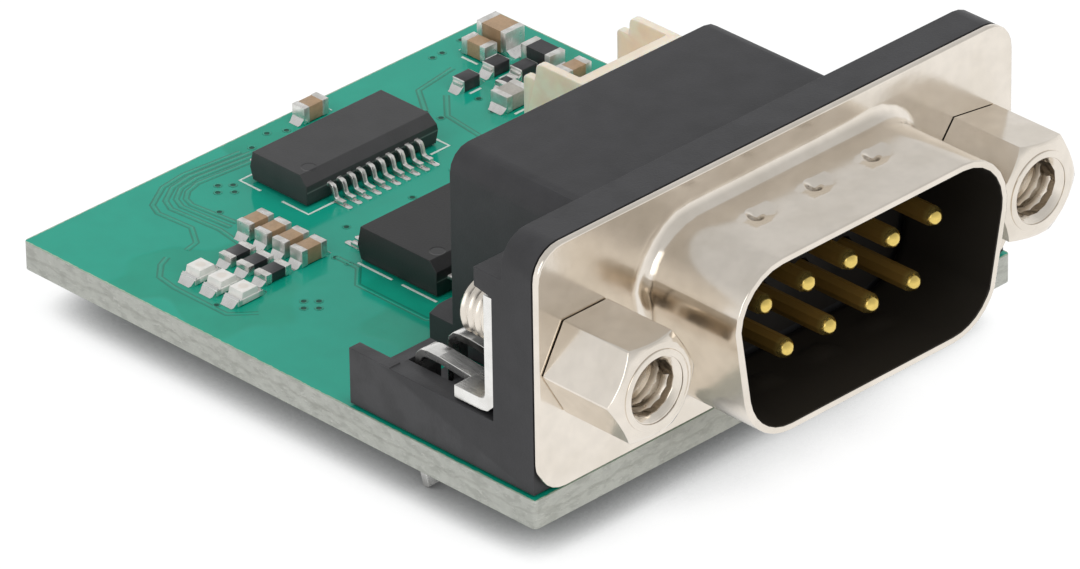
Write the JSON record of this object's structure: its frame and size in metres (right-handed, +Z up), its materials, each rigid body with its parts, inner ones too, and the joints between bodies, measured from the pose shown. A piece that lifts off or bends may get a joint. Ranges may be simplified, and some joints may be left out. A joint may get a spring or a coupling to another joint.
{
  "type": "usb to serial adapter module",
  "caption": "Small circuit board with a right-angle male D-sub connector, hex standoffs, board locks, gull-wing chips and a shrouded header, joining a USB cable to a serial port.",
  "frame": {"origin": "on the ground below the middle of the module's outline, where the board locks' prongs and the header's pins stand", "axes": "+X to the right as seen from the connector's mouth, +Y from the connector to the board's rear edge, +Z up"},
  "size_m": [0.0312, 0.0402, 0.0163],
  "materials": {
    "solder_mask": "satin green mask over glass laminate",
    "nickel_plate": "bright warm nickel plate",
    "black_moulding": "fine matt moulding",
    "inner_moulding": "dark moulding",
    "gold_plate": "gold plate",
    "bright_tin": "bright tin plate",
    "cream_nylon": "cream nylon",
    "chip_epoxy": "matt epoxy with tinned leads",
    "ceramic_tan": "tan ceramic with tinned ends",
    "resistor_black": "black glaze with tinned ends",
    "led_white": "white resin",
    "inductor_grey": "grey ceramic with tinned ends"
  },
  "bodies": {
    "root": {"circuit_board": "solder_mask", "front_shell": "nickel_plate", "connector_housing": "black_moulding", "contact_insulator": "inner_moulding", "contact_pin_1": "gold_plate", "contact_pin_2": "gold_plate", "contact_pin_3": "gold_plate", "contact_pin_4": "gold_plate", "contact_pin_5": "gold_plate", "contact_pin_6": "gold_plate", "contact_pin_7": "gold_plate", "contact_pin_8": "gold_plate", "contact_pin_9": "gold_plate", "board_lock_left": "bright_tin", "board_lock_right": "bright_tin", "hex_standoff_left": "nickel_plate", "hex_standoff_right": "nickel_plate", "header_shroud": "cream_nylon", "header_pin_1": "bright_tin", "header_pin_2": "bright_tin", "header_pin_3": "bright_tin", "header_pin_4": "bright_tin", "interface_chip": "chip_epoxy", "transceiver_chip": "chip_epoxy", "row_capacitor_1": "ceramic_tan", "row_capacitor_2": "ceramic_tan", "row_capacitor_3": "ceramic_tan", "row_capacitor_4": "ceramic_tan", "row_resistor_1": "resistor_black", "row_resistor_2": "resistor_black", "row_resistor_3": "resistor_black", "status_led_1": "led_white", "status_led_2": "led_white", "status_led_3": "led_white", "edge_capacitor": "ceramic_tan", "bulk_capacitor": "ceramic_tan", "rear_capacitor": "ceramic_tan", "right_capacitor": "ceramic_tan", "diode_1": "resistor_black", "diode_2": "resistor_black", "diode_3": "resistor_black", "ferrite_bead": "resistor_black", "rear_resistor": "resistor_black", "chip_inductor": "inductor_grey"}
  },
  "joints": []
}
